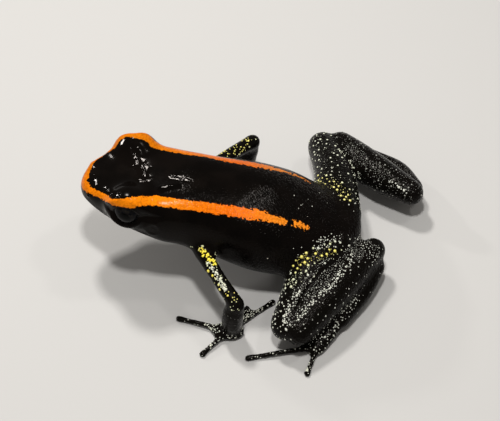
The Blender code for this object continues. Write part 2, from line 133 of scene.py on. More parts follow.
# How high over the lip line each lip is fullest, and its half width.
LIPS = ((0.26, 0.17), (-0.24, 0.16))
FACE_FINE_ZONES = (0.34, 0.16)
NOSTRIL_AIM = (-12.1, 1.6, 9.0)
NOSTRIL_WAY = (-0.35, 1.0, 0.1)
NOSTRIL_AIM_DISTANCE = 6
NOSTRIL_RADIUS = 0.15
NOSTRIL_DEPTH = 0.22
NOSTRIL_EDGE = (1.3, 0.4)
NOSTRIL_RIM = 0.05
NOSTRIL_RIM_WIDTH = 0.1
NOSTRIL_RIM_PLACE = 1.6
EARDRUM_PLACE = (-6.35, 8.25)
EARDRUM_RADII = (0.62, 0.72)
EARDRUM_RIM = 0.05
EARDRUM_RIM_WIDTH = 0.16
EARDRUM_DISH = 0.05
EARDRUM_DISH_EDGE = 0.6
HEAD_SIDE = 2.0
HEAD_END = -4.4

# Fine folds of the skin: their depth, their half width, and the places along each.
FOLDS = [
    (0.13, 0.08, ((9.89, -3.39, 5.27), (9.56, -3.7, 5.22), (9.15, -4.17, 5.23), (8.74, -4.64, 5.25),
                  (7.94, -5.67, 5.13), (7.15, -6.83, 4.89), (6.53, -7.92, 4.44), (6.08, -8.91, 4.02))),
    (0.1, 0.08, ((8.82, 9.18, 4.64), (9.3, 8.4, 4.83), (9.8, 7.75, 4.75), (10.1, 7.1, 4.7),
                 (10.6, 7.0, 3.8))),
]
FOLD_FADE = 0.12
# Where the skin is a little fuller than the solids: how much, over what half width, and the places along it.
FULLER = [(0.2, 0.55, ((-12.0, 1.75, 9.4), (-11.7, 2.05, 9.45), (-11.2, 2.42, 9.57), (-10.8, 2.7, 9.75)))]


def add_object(name, data):
    obj = bpy.data.objects.new(name, data)
    bpy.context.scene.collection.objects.link(obj)
    return obj


def frame_centre(node):
    low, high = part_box(node)
    return (Vector(low) + Vector(high)) / 2 / MM


SHIFT = frame_centre("eye_left") - LEFT_EYE
EYE_PLACE = {side: frame_centre("eye_" + side) - SHIFT for side in SIGN}


# Camera and light

def turn_to_frog(obj, way, distance):
    """Sets a camera or lamp this way and this far from the frog, and turns it to the frog."""
    obj.location = (VIEW_AIM + way * distance + SHIFT) * MM
    obj.rotation_euler = way.to_track_quat("Z", "Y").to_euler()


def place_camera():
    elevation, azimuth = math.radians(VIEW_ELEVATION), math.radians(VIEW_AZIMUTH)
    back = Vector((math.sin(azimuth) * math.cos(elevation), -math.cos(azimuth) * math.cos(elevation),
                   math.sin(elevation)))
    data = bpy.data.cameras.new("camera")
    data.sensor_width = SENSOR
    data.lens = PIXELS_PER_MM * VIEW_DISTANCE * SENSOR / PICTURE_WIDTH
    data.clip_start = NEAREST_SHOWN * MM
    camera = add_object("camera", data)
    turn_to_frog(camera, back, VIEW_DISTANCE)
    bpy.context.scene.camera = camera


def add_light(name, direction, distance, size, watts, colour):
    data = bpy.data.lights.new(name, "AREA")
    data.size = size * MM
    data.energy = watts
    data.color = colour
    turn_to_frog(add_object(name, data), Vector(direction).normalized(), distance)


place_camera()


# Meshes as arrays

def result_of(rough):
    """The mesh that a rough object's modifiers make. The object itself is removed."""
    bpy.context.view_layer.update()
    data = bpy.data.meshes.new_from_object(rough.evaluated_get(bpy.context.evaluated_depsgraph_get()))
    bpy.data.objects.remove(rough)
    return data


def finished_mesh(mesh, name):
    """A mesh that is being edited, as a finished one with this name."""
    data = bpy.data.meshes.new(name)
    mesh.to_mesh(data)
    mesh.free()
    return data


def read(items, name, width, kind=float):
    """A value of every item, as rows of this many numbers."""
    flat = np.empty(len(items) * width, dtype=kind)
    items.foreach_get(name, flat)
    return flat.reshape(-1, width)


def places_of(data):
    return read(data.vertices, "co", 3)


def normals_of(data):
    return read(data.vertices, "normal", 3)


def edges_of(data):
    return read(data.edges, "vertices", 2, np.int64)


def quads_of(data):
    return read(data.loops, "vertex_index", 1, np.int64).reshape(-1, 4)


def set_places(data, places):
    data.vertices.foreach_set("co", places.ravel())
    data.update()


def neighbour_mean(values, edges):
    """Each point's mean of the values of the points it shares an edge with."""
    count = np.bincount(edges.ravel(), minlength=len(values))
    total = np.zeros_like(values)
    for axis in range(values.shape[1]):
        total[:, axis] = (np.bincount(edges[:, 0], values[edges[:, 1], axis], len(values))
                          + np.bincount(edges[:, 1], values[edges[:, 0], axis], len(values)))
    return total / np.maximum(count, 1)[:, None]


def blurred(values, edges, reach):
    """Values averaged over about this many mm around each point."""
    for _ in range(round(2 * reach ** 2 / (BLUR_PULL * VOXEL ** 2))):
        values = values + BLUR_PULL * (neighbour_mean(values, edges) - values)
    return values


def softened(places, edges, reach):
    """Places freed of all forms finer than the reach, with what the coarser forms lost by it given back."""
    once = blurred(places, edges, reach)
    return 2 * once - blurred(once, edges, reach)


def filled(places, edges, quads, rounds):
    """Fills creases: each round moves only the points that lie below their neighbours."""
    rounds = np.asarray(rounds, float)[:, None]
    for k in range(int(rounds.max())):
        outward = point_normals(places, quads)
        step = neighbour_mean(places, edges) - places
        sunk = (step * outward).sum(axis=1, keepdims=True) > 0
        places = places + FILLING_PULL * step * sunk * (k < rounds)
    return places


def point_normals(places, quads):
    across = np.cross(places[quads[:, 2]] - places[quads[:, 0]], places[quads[:, 3]] - places[quads[:, 1]])
    total = np.zeros_like(places)
    for corner in range(4):
        for axis in range(3):
            total[:, axis] += np.bincount(quads[:, corner], across[:, axis], len(places))
    return unit(total)


def smooth_step(low, high, value):
    share = np.clip((value - low) / (high - low), 0, 1)
    return share * share * (3 - 2 * share)


def bell(value, width):
    return np.exp(-(value / width) ** 2)


def unit(vectors):
    return vectors / np.maximum(np.linalg.norm(vectors, axis=-1, keepdims=True), 1e-9)


def path_lengths(path):
    """The lengths of a path's straight pieces, and how far along it each of its places lies."""
    lengths = np.linalg.norm(path[1:] - path[:-1], axis=1)
    return lengths, np.concatenate([[0], np.cumsum(lengths)])


def path_distance(places, path):
    """Each place's distance to a path of straight pieces, and the share of the path where it is nearest."""
    path = np.array(path, float)
    lengths, before = path_lengths(path)
    best = np.full(len(places), np.inf)
    where = np.zeros(len(places))
    for k, length in enumerate(lengths):
        way = (path[k + 1] - path[k]) / length
        along = np.clip((places - path[k]) @ way, 0, length)
        distance = np.linalg.norm(places - path[k] - along[:, None] * way, axis=1)
        nearer = distance < best
        best[nearer] = distance[nearer]
        where[nearer] = (before[k] + along[nearer]) / before[-1]
    return best, where


# The skin's form

FLESH = sorted(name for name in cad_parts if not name.startswith("eye_"))


def node_in_plan(name):
    """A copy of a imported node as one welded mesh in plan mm."""
    mesh = bmesh.new()
    mesh.from_mesh(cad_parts[name].data)
    bmesh.ops.transform(mesh, matrix=Matrix.Translation(-SHIFT) @ Matrix.Scale(1 / MM, 4), verts=mesh.verts)
    bmesh.ops.remove_doubles(mesh, verts=mesh.verts, dist=WELD)
    bmesh.ops.recalc_face_normals(mesh, faces=mesh.faces)
    mesh.normal_update()
    return mesh


def swollen_flesh():
    """All solids of flesh in one mesh, each swollen to overlap the next, with balls for lids and brows."""
    joined = bmesh.new()
    for name in FLESH:
        piece = node_in_plan(name)
        for vert in piece.verts:
            vert.co += vert.normal * SWELL
        data = finished_mesh(piece, "piece")
        joined.from_mesh(data)
        bpy.data.meshes.remove(data)
    for side, y in SIGN.items():
        lid = bmesh.ops.create_icosphere(joined, subdivisions=BALL_FINENESS, radius=LID_RADIUS + SWELL / 2)
        bmesh.ops.translate(joined, verts=lid["verts"], vec=EYE_PLACE[side] + LID_SHIFT[side])
        brow = bmesh.ops.create_icosphere(joined, subdivisions=BALL_FINENESS, radius=1.0)
        bmesh.ops.scale(joined, verts=brow["verts"], vec=BROW_RADII)
        at = EYE_PLACE[side] + Vector((BROW_AT[0], BROW_AT[1] * y, BROW_AT[2]))
        bmesh.ops.translate(joined, verts=brow["verts"], vec=at)
    return finished_mesh(joined, "flesh")


def tree_of(name):
    """A node's surface, for finding what is nearest to a place."""
    mesh = node_in_plan(name)
    tree = BVHTree.FromBMesh(mesh)
    mesh.free()
    return tree


def nearest_parts(places):
    """The number in FLESH of the node that each place lies nearest to."""
    corners, faces, owners = [], [], []
    for number, name in enumerate(FLESH):
        mesh = node_in_plan(name)
        start = len(corners)
        corners += [vert.co.copy() for vert in mesh.verts]
        for face in mesh.faces:
            faces.append([start + vert.index for vert in face.verts])
            owners.append(number)
        mesh.free()
    tree = BVHTree.FromPolygons(corners, faces)
    return np.array([owners[tree.find_nearest(place)[2]] for place in places])


def belongs(parts, *kinds):
    """Which points belong to nodes whose names start with one of these words."""
    numbers = [number for number, name in enumerate(FLESH) if name.startswith(kinds)]
    return np.isin(parts, numbers)


def spread(chosen, edges, rounds=12):
    """A choice of points as a share from 0 to 1, with soft edges about this many points wide."""
    share = chosen.astype(float)[:, None]
    for _ in range(rounds):
        share = neighbour_mean(share, edges)
    return share[:, 0]


def leg_grooves(places, parts):
    """Points in the grooves along each shank, which stay fine deep lines."""
    groove = np.zeros(len(places), bool)
    for side in SIGN:
        for kind, other in GROOVED:
            tree = tree_of(other + side)
            for index in np.flatnonzero(belongs(parts, kind + side)):
                groove[index] |= tree.find_nearest(places[index])[3] < GROOVE_REACH
    for knee in KNEES:
        groove &= np.linalg.norm(places - knee, axis=1) > KNEE_REACH
    return groove


def draw_skin():
    """One closed skin over all the flesh, in plan mm."""
    rough = add_object("rough", swollen_flesh())
    remesh = rough.modifiers.new("skin", "REMESH")
    remesh.mode = "VOXEL"
    remesh.voxel_size = VOXEL
    data = result_of(rough)
    places, edges, quads = places_of(data), edges_of(data), quads_of(data)
    parts = nearest_parts(places)
    trunk = spread(belongs(parts, "head", "torso"), edges)
    digits = spread(belongs(parts, "hand", "foot"), edges)
    groove = spread(leg_grooves(places, parts), edges, GROOVE_EDGE_ROUNDS)
    fillings = LIMB_FILLINGS + (TRUNK_FILLINGS - LIMB_FILLINGS) * trunk
    fillings += (DIGIT_FILLINGS - LIMB_FILLINGS) * digits
    fillings *= 1 - groove
    places = softened(places, edges, DIGIT_SOFTNESS)
    places = filled(places, edges, quads, fillings)
    body = softened(places, edges, TRUNK_SOFTNESS)
    limbs = softened(places, edges, LIMB_SOFTNESS)
    hands = softened(places, edges, DIGIT_SOFTNESS)
    rest = np.clip(1 - trunk - digits, 0, 1)
    total = (trunk + rest + digits)[:, None]
    places = (body * trunk[:, None] + limbs * rest[:, None] + hands * digits[:, None]) / total
    inward = SWELL + DIGIT_SHRINK * digits[:, None]
    set_places(data, places - point_normals(places, quads) * inward)
    return data


def refine(data, chosen):
    """Halves the edges whose two ends are chosen."""
    mesh = bmesh.new()
    mesh.from_mesh(data)
    mesh.verts.ensure_lookup_table()
    edges = [e for e in mesh.edges if chosen[e.verts[0].index] and chosen[e.verts[1].index]]
    bmesh.ops.subdivide_edges(mesh, edges=edges, cuts=1, use_grid_fill=True, smooth=0.0)
    mesh.to_mesh(data)
    mesh.free()
    data.update()


def eye_axes(side):
    """The way the eye's opening faces, its forward way along the lids, and its upward way."""
    y = SIGN[side]
    tilt, forward = math.radians(EYE_TILT), math.radians(EYE_FORWARD)
    level = math.cos(tilt)
    out = Vector((-math.sin(forward) * level, y * math.cos(forward) * level, math.sin(tilt)))
    along = Vector((-math.cos(forward), -y * math.sin(forward), 0.0))
    return out, along, out.cross(along) * -y


def opening_measure(places, side):
    """How far each place is from the middle of the eye's opening, its height there and its distance."""
    out, along, up = (np.array(axis) for axis in eye_axes(side))
    way = places - np.array(EYE_PLACE[side])
    distance = np.linalg.norm(way, axis=1)
    ahead = way @ out
    length = np.degrees(np.arctan2(way @ along, ahead)) / OPENING_HALF_LENGTH
    height = np.degrees(np.arctan2(way @ up, ahead)) / OPENING_HALF_HEIGHT
    measure = np.where(distance < EYE_REGION, np.hypot(length, height), OUTSIDE)
    return measure, height, distance


def mouth_height(places):
    """How far above the lip line a place lies, and how strongly the line shows there."""
    corner_x, corner_z = MOUTH_CORNER
    share = np.clip((places[:, 0] - SNOUT_X) / (corner_x - SNOUT_X), 0, 1)
    line = MOUTH_FRONT_Z + (corner_z - MOUTH_FRONT_Z) * share
    shown = smooth_step(corner_x + MOUTH_FADE[0], corner_x + MOUTH_FADE[1], places[:, 0])
    return places[:, 2] - line, shown


def find_nostrils(data):
    """The middle of each nostril on the skin."""
    tree = BVHTree.FromPolygons([v.co for v in data.vertices], [p.vertices for p in data.polygons])
    found = []
    for y in SIGN.values():
        middle = np.interp(NOSTRIL_AIM[0], *MIDDLE_LINE)
        aim = Vector((NOSTRIL_AIM[0], middle + y * NOSTRIL_AIM[1], NOSTRIL_AIM[2]))
        way = Vector((NOSTRIL_WAY[0], y * NOSTRIL_WAY[1], NOSTRIL_WAY[2]))
        found.append(np.array(tree.ray_cast(aim + way * NOSTRIL_AIM_DISTANCE, -way.normalized())[0]))
    return found


def lid_radius(measure, height, distance):
    """The skin's distance from the eye's centre: inside the ball in the opening, then a lip, then the lid."""
    rise = smooth_step(*SOCKET_RIM, measure)
    edge = LID_EDGE_RADIUS + LID_LIP * smooth_step(*LID_LIP_RISE, measure)
    edge = edge + UPPER_LID * smooth_step(*UPPER_LID_RISE, height)
    blend = smooth_step(LID_BLEND_START, LID_REACH, measure)
    outer = edge + (distance - edge) * blend
    return SOCKET_RADIUS + (outer - SOCKET_RADIUS) * rise


def refine_lids(data):
    for inner, outer in LID_FINE_ZONES:
        places = places_of(data)
        chosen = np.zeros(len(places), bool)
        for side in SIGN:
            measure = opening_measure(places, side)[0]
            chosen |= (measure > inner) & (measure < outer)
        refine(data, chosen)


def refine_face_and_folds(data, nostrils):
    for zone in FACE_FINE_ZONES:
        places = places_of(data)
        height, shown = mouth_height(places)
        chosen = (np.abs(height) < zone) & (shown > 0)
        for pit in nostrils:
            chosen |= np.linalg.norm(places - pit, axis=1) < zone + NOSTRIL_RADIUS
        for _, _, path in FOLDS:
            chosen |= path_distance(places, path)[0] < zone
        refine(data, chosen)


def face_lift(places, nostrils):
    """How far the lips, nostrils and eardrums stand out at each place."""
    height, shown = mouth_height(places)
    lift = LIP_SWELL * sum(bell(height - middle, width) for middle, width in LIPS)
    lift -= LIP_GROOVE * bell(height, LIP_GROOVE_WIDTH)
    lift *= shown
    for pit in nostrils:
        away = np.linalg.norm(places - pit, axis=1)
        lift += NOSTRIL_RIM * bell(away - NOSTRIL_RADIUS * NOSTRIL_RIM_PLACE, NOSTRIL_RIM_WIDTH)
        outer, inner = NOSTRIL_EDGE
        lift -= NOSTRIL_DEPTH * smooth_step(NOSTRIL_RADIUS * outer, NOSTRIL_RADIUS * inner, away)
    for y in SIGN.values():
        beside = (places[:, 1] * y > HEAD_SIDE) & (places[:, 0] < HEAD_END)
        ring = np.hypot((places[:, 0] - EARDRUM_PLACE[0]) / EARDRUM_RADII[0],
                        (places[:, 2] - EARDRUM_PLACE[1]) / EARDRUM_RADII[1])
        rim = EARDRUM_RIM * bell(ring - 1.0, EARDRUM_RIM_WIDTH)
        dish = EARDRUM_DISH * smooth_step(1.0, EARDRUM_DISH_EDGE, ring)
        lift += np.where(beside, rim - dish, 0)
    return lift


def fold_lift(places):
    """How far the folds sink at each place, and how much fuller the skin is than the solids."""
    lift = np.zeros(len(places))
    for depth, width, path in FOLDS:
        away, where = path_distance(places, path)
        fade = smooth_step(0.0, FOLD_FADE, where) * smooth_step(1.0, 1.0 - FOLD_FADE, where)
        lift -= depth * bell(away, width) * fade
    for height, width, path in FULLER:
        lift += height * bell(path_distance(places, path)[0], width)
    return lift


def with_lids(places):
    """Places with both eyes' sockets opened and their lids drawn round them."""
    for side in SIGN:
        measure, height, distance = opening_measure(places, side)
        centre = np.array(EYE_PLACE[side])
        way = unit(places - centre)
        shown = (measure < OUTSIDE) & (measure > 1.0)
        distance = np.where(shown, np.maximum(distance, LID_EDGE_RADIUS), distance)
        wanted = centre + way * lid_radius(measure, height, distance)[:, None]
        places = np.where((measure < LID_REACH)[:, None], wanted, places)
        over = shown & (measure >= LID_REACH)
        places = np.where(over[:, None], centre + way * distance[:, None], places)
    return places


def sculpt(data):
    """Gives the skin its lids, lips, nostrils, eardrums and folds."""
    refine_lids(data)
    nostrils = find_nostrils(data)
    refine_face_and_folds(data, nostrils)
    places = softened(places_of(data), edges_of(data), DIGIT_SOFTNESS)
    set_places(data, places)
    lift = face_lift(places, nostrils) + fold_lift(places)
    places = with_lids(places + normals_of(data) * lift[:, None])
    places[:, 2] = np.maximum(places[:, 2], 0)
    set_places(data, places)


skin_data = draw_skin()
sculpt(skin_data)


# The skin's marks

# The stripes: x, y and z of places along the middle of each, from the tip of the snout back over the lid, and
# its half width there. A granular spot follows the left one.
STRIPES = {
    "left": [(-12.95, 0.35, 9.0, 0.44), (-12.6, -0.31, 9.08, 0.44), (-12.08, -1.04, 9.3, 0.32),
             (-11.46, -1.51, 9.49, 0.28), (-10.89, -1.9, 9.68, 0.27), (-10.22, -2.65, 10.15, 0.27),
             (-9.6, -3.35, 10.7, 0.32), (-9.07, -3.52, 10.87, 0.36), (-8.55, -3.53, 10.96, 0.46),
             (-8.05, -3.52, 11.0, 0.49), (-7.63, -3.42, 11.02, 0.46), (-7.2, -3.22, 10.91, 0.39),
             (-6.6, -2.9, 10.57, 0.41), (-6.2, -2.77, 10.5, 0.45), (-5.4, -2.81, 10.4, 0.42),
             (-4.1, -2.78, 10.26, 0.45), (-2.4, -2.76, 10.0, 0.43), (-0.7, -2.7, 9.7, 0.45),
             (1.9, -2.6, 9.2, 0.46), (3.4, -2.52, 8.8, 0.4), (4.9, -2.55, 8.2, 0.2)],
    "right": [(-12.95, 0.35, 9.0, 0.44), (-12.54, 0.26, 9.22, 0.42), (-12.44, 1.07, 9.29, 0.4),
              (-12.18, 1.66, 9.43, 0.38), (-11.77, 2.21, 9.54, 0.28), (-11.27, 2.58, 9.66, 0.26),
              (-10.75, 2.88, 9.9, 0.27), (-10.4, 3.01, 10.17, 0.35), (-10.07, 3.2, 10.74, 0.32),
              (-9.75, 3.51, 11.09, 0.3), (-9.37, 3.65, 11.29, 0.3), (-8.95, 3.65, 11.4, 0.37),
              (-8.5, 3.6, 11.43, 0.45), (-8.07, 3.63, 11.38, 0.5), (-7.66, 3.67, 11.21, 0.53),
              (-7.29, 3.5, 10.99, 0.52), (-6.89, 3.26, 10.7, 0.51), (-6.42, 3.27, 10.4, 0.53),
              (-5.86, 3.18, 10.25, 0.53), (-3.67, 2.93, 10.1, 0.48), (-2.0, 3.0, 9.72, 0.5),
              (-0.6, 2.9, 9.55, 0.5), (1.5, 2.95, 9.1, 0.5), (3.1, 3.0, 8.6, 0.4),
              (4.5, 3.1, 7.98, 0.26), (5.9, 3.0, 7.42, 0.13), (6.8, 2.75, 7.15, 0.08)],
}
SPOT = ((5.75, -2.35, 7.92), (6.2, -2.3, 7.7), (6.7, -2.35, 7.42))
SPOT_HALF_WIDTH = 0.25


def stripe_depth(places):
    """How deep inside a stripe or the spot each place lies, in mm; less than zero outside."""
    depth = SPOT_HALF_WIDTH - path_distance(places, SPOT)[0]
    for stripe in STRIPES.values():
        path, widths = np.array(stripe)[:, :3], np.array(stripe)[:, 3]
        before = path_lengths(path)[1]
        distance, where = path_distance(places, path)
        half = np.interp(where, before / before[-1], widths)
        depth = np.maximum(depth, half - distance)
    return depth


def store(data, name, values):
    attribute = data.attributes.new(name, "FLOAT", "POINT")
    attribute.data.foreach_set("value", np.asarray(values, np.float32))


# What is told of each kind of pale granule, with its unit: how thick the large spots lie and their radius,
# the same for the fine specks, and the tint of both, 1 for yellow, 0 for white and less for a dim grey.
FIELDS = {"spots": 1.0, "spot_size": MM, "specks": 1.0, "speck_size": MM, "yellow": 1.0}
AMOUNTS = [0, 2]
KINDS = {
    "gold": (1.0, 0.15, 1.0, 0.105, 1.0),
    "gold_dots": (0.9, 0.14, 0.0, 0.05, 0.9),
    "yellow": (0.7, 0.135, 0.35, 0.034, 0.82),
    "cream": (0.75, 0.11, 0.5, 0.036, 0.32),
    "white": (0.6, 0.085, 0.2, 0.04, 0.15),
    "bright": (1.0, 0.135, 1.0, 0.085, 0.18),
    "ridge": (0.8, 0.1, 0.75, 0.068, 0.0),
    "net": (0.5, 0.08, 0.6, 0.055, 0.05),
    "haze": (0.35, 0.08, 1.0, 0.037, -0.14),
    "beads": (1.0, 0.1, 0.85, 0.066, 0.16),
    "tarsus": (0.38, 0.088, 0.32, 0.06, 0.0),
    "far": (0.4, 0.088, 0.12, 0.034, 0.2),
    "far_shank": (0.33, 0.068, 0.28, 0.034, -0.2),
    "far_haze": (0.05, 0.06, 0.8, 0.042, -0.3),
    "far_yellow": (0.65, 0.105, 0.3, 0.034, 0.75),
    "far_net": (0.3, 0.07, 0.8, 0.034, -0.2),
    "crease": (0.8, 0.11, 0.6, 0.07, 0.22),
    "digit": (0.5, 0.075, 0.25, 0.05, 0.1),
    "elbow": (0.45, 0.085, 0.35, 0.06, 0.8),
    "arm": (0.12, 0.075, 0.06, 0.045, 0.5),
    "sparse": (0.18, 0.07, 0.04, 0.042, -0.14),
    "dust": (0.0, 0.05, 0.06, 0.033, -0.25),
    "rump": (0.05, 0.055, 0.01, 0.04, 0.0),
    "bare": (0.0, 0.06, 0.0, 0.045, 0.0),
}

# The kind that each part has where no patch lies.
COVER = {"head": "bare", "torso": "bare", "thigh_left": "white", "thigh_right": "far", "shank_left": "sparse",
         "shank_right": "far_shank", "tarsus": "sparse", "foot": "digit", "hand": "digit", "forearm": "dust",
         "upper_arm": "arm"}

# Patches of one kind, the later over the earlier: how far each reaches from its path.
PATCHES = [
    ("rump", 2.2, ((7.0, 0.0, 7.2), (9.5, 0.3, 6.2))),
    ("rump", 1.2, ((4.2, -4.5, 6.8), (6.3, -4.4, 5.8))),
    # Near thigh: a pale net at the hip, yellow dots, then cream ones, and a white streak towards the knee.
    ("haze", 0.5, ((7.4, -6.4, 5.0), (6.5, -7.4, 4.8), (5.9, -8.5, 4.2), (5.6, -9.8, 3.7))),
    ("cream", 0.75, ((8.7, -4.5, 5.5), (7.7, -5.3, 5.5), (6.9, -5.9, 5.3), (6.2, -6.0, 5.1),
                     (5.6, -6.3, 4.7))),
    ("yellow", 0.6, ((9.3, -3.25, 5.85), (8.4, -3.7, 5.9), (7.4, -4.2, 5.9), (6.7, -4.6, 5.65),
                     (6.0, -5.05, 5.3))),
    ("net", 0.32, ((7.5, -3.2, 6.4), (8.2, -2.9, 6.3), (8.8, -2.4, 6.3), (9.5, -2.4, 6.0))),
    ("ridge", 0.15, ((7.6, -3.6, 6.1), (8.4, -3.3, 6.1), (9.4, -3.0, 5.9))),
    ("haze", 0.22, ((9.35, -3.4, 5.4), (8.5, -4.35, 5.45), (7.7, -5.35, 5.35), (6.9, -6.5, 5.1))),
    ("ridge", 0.22, ((6.3, -7.2, 4.8), (5.9, -8.0, 4.4), (5.5, -9.0, 4.0), (5.3, -9.8, 3.6),
                     (5.6, -10.2, 3.4))),
    # Near shank: a bright ridge, a grey haze between it and the groove, and the heel.
    ("haze", 0.62, ((10.4, -3.3, 4.8), (9.0, -5.2, 4.8), (8.2, -6.3, 4.9), (7.3, -7.5, 4.6),
                    (6.6, -8.6, 4.2))),
    ("haze", 0.9, ((12.4, -2.0, 4.2), (11.6, -1.7, 4.4), (11.1, -2.5, 4.5))),
    ("net", 0.45, ((11.9, -1.6, 4.2), (12.2, -2.2, 3.9), (12.4, -2.8, 3.6))),
    ("ridge", 0.28, ((10.7, -2.7, 4.7), (10.5, -3.8, 4.6), (9.9, -5.0, 4.65), (9.2, -6.2, 4.65),
                     (8.4, -7.1, 4.55), (7.5, -8.0, 4.3), (6.9, -8.8, 4.1), (6.5, -9.4, 3.9))),
    ("tarsus", 0.5, ((11.3, -5.7, 2.2), (10.4, -7.1, 1.9), (9.2, -8.4, 1.5), (8.4, -9.3, 1.3),
                     (7.9, -9.8, 1.1))),
    # Far leg: yellow by the body, a cream row in the crease, and a haze on the shank.
    ("far_yellow", 0.75, ((7.3, 4.9, 4.9), (8.0, 4.1, 5.7), (9.0, 3.4, 6.15), (9.9, 2.8, 6.15),
                          (9.9, 2.1, 6.3))),
    ("far_net", 0.6, ((10.2, 9.4, 4.3), (11.2, 8.1, 4.3), (12.2, 7.3, 4.3), (13.2, 6.6, 4.2))),
    ("ridge", 0.14, ((13.9, 6.0, 4.0), (14.7, 5.5, 3.8), (15.4, 5.1, 3.7))),
    ("crease", 0.2, ((8.9, 9.1, 4.6), (9.3, 8.45, 4.7), (9.8, 8.0, 4.6), (10.2, 7.4, 4.5), (10.5, 7.2, 3.9),
                     (10.8, 7.1, 3.6), (11.1, 6.9, 3.1))),
    ("far_haze", 0.7, ((13.3, 10.8, 1.7), (14.0, 10.4, 1.85), (14.7, 9.6, 2.1), (15.4, 8.2, 2.4))),
    # Near arm: gold at the shoulder, yellow dots along its front, and a pale streak down to the elbow.
    ("elbow", 0.52, ((0.45, -8.6, 5.6), (1.1, -8.75, 5.55))),
    ("gold_dots", 0.17, ((-2.9, -4.6, 6.4), (-2.6, -4.9, 6.4))),
    ("gold_dots", 0.3, ((-2.0, -5.5, 6.5), (-1.2, -6.7, 6.1), (-0.4, -7.8, 5.7), (0.4, -8.4, 5.65))),
    ("bright", 0.24, ((-1.4, -6.0, 6.4), (-0.9, -6.6, 6.2), (-0.25, -7.65, 5.9), (0.2, -8.2, 5.7))),
    ("gold", 0.28, ((-2.1, -4.9, 6.7), (-1.4, -5.6, 6.55), (-0.95, -5.95, 6.4))),
    # Far arm: dots as on the near one.
    ("elbow", 0.55, ((-1.0, 6.2, 6.4), (-0.3, 6.8, 6.1), (0.5, 7.6, 5.8), (0.8, 8.4, 5.7))),
    # Near hand and foot: dense pale beads where the fingers leave the palm, and a few by the tips.
    ("beads", 0.4, ((-0.4, -8.2, 0.7), (-0.8, -8.6, 0.6), (-1.4, -8.4, 0.55))),
    ("beads", 0.3, ((1.8, -7.4, 0.6), (2.3, -6.7, 0.5), (3.2, -6.1, 0.5))),
    ("beads", 0.25, ((-1.0, -10.4, 0.5), (-1.2, -10.7, 0.5))),
    ("beads", 0.2, ((7.6, -12.0, 0.4), (7.5, -12.4, 0.4))),
    # The groove between the near thigh and shank is bare.
    ("bare", 0.16, FOLDS[0][2]),
]
# A patch fades between these shares of its reach. Undersides have fewer granules, and the soles have none.
PATCH_EDGE = (1.25, 0.7)
UNDERSIDE_SHARE = 0.3
UNDERSIDE_EDGE = (-0.6, 0.3)
FLOOR_EDGE = (0.15, 0.4)


def patch_share(places, path, reach, edge):
    """How much of a patch lies on each place: 1 along its path, and 0 past its reach."""
    rim, core = edge
    return smooth_step(reach * rim, reach * core, path_distance(places, path)[0])


def granule_fields(places, parts, outward):
    """The values of KINDS, mixed for each point of the skin."""
    fields = np.zeros((len(places), len(FIELDS)))
    for part, kind in COVER.items():
        fields[belongs(parts, part)] = KINDS[kind]
    for kind, reach, path in PATCHES:
        share = patch_share(places, path, reach, PATCH_EDGE)
        fields += (np.array(KINDS[kind]) - fields) * share[:, None]
    upward = smooth_step(*UNDERSIDE_EDGE, outward[:, 2])
    shown = (UNDERSIDE_SHARE + (1 - UNDERSIDE_SHARE) * upward) * smooth_step(*FLOOR_EDGE, places[:, 2])
    fields[:, AMOUNTS] *= shown[:, None]
    return fields


# Where water lies on the skin: how far each patch reaches from its path, how much of it is a lumpy film and
# not only damp, how far it levels the skin, the way that it faces, and its path.
FACING_UP = (-0.116, -0.128, 0.985)
FACING_FRONT = (-0.5, -0.094, 0.861)
FACING_LEFT = (0.022, -0.418, 0.908)
WET_PATCHES = [
    (0.4, 1.0, 0.87, FACING_FRONT, ((-12.1, 0.8, 9.6), (-11.8, 0.0, 9.7), (-11.7, -0.8, 9.7))),
    (0.34, 1.0, 0.88, FACING_FRONT, ((-9.4, 2.9, 11.1), (-10.2, 2.5, 10.0))),
    (0.4, 1.0, 0.88, FACING_UP, ((-8.6, 2.6, 11.25), (-8.35, 2.0, 11.05))),
    (0.68, 1.0, 0.91, FACING_UP, ((-8.1, 1.05, 10.6), (-7.6, 0.5, 10.7), (-7.4, -0.4, 10.7))),
    (0.3, 1.0, 0.82, FACING_FRONT, ((-10.5, -1.5, 10.0), (-9.4, -3.0, 11.1))),
    (0.3, 1.0, 0.82, FACING_LEFT, ((-5.7, -1.7, 10.7), (-4.3, -1.25, 10.5))),
    (0.3, 1.0, 0.82, FACING_UP, ((-4.95, -0.2, 10.7), (-3.4, -0.5, 10.5))),
    (1.0, 0.0, 0.78, FACING_LEFT, ((1.6, -2.1, 9.3), (2.4, -1.2, 9.4), (3.1, -0.5, 9.3))),
]
WATER_EDGE = (1.5, 0.6)

# How softly the head's wetness and the limbs' tone run over into the trunk, and how far round the sides
# wetness and the belly's marbling reach, by the upward share of the way that the skin faces.
HEAD_EDGE_ROUNDS = 30
LIMB_EDGE_ROUNDS = 10
WET_EDGE = (-0.2, 0.4)
BELLY_EDGE = (-0.3, -0.85)


def water_on(places, outward):
    """How much film lies on each place, and the way that the wet skin faces there."""
    film = np.zeros(len(places))
    facing = outward.copy()
    for reach, lumpy, level, way, path in WET_PATCHES:
        share = patch_share(places, path, reach, WATER_EDGE)
        film = np.maximum(film, share * lumpy)
        facing += (np.array(way) - facing) * (level * share)[:, None]
    return film, unit(facing)


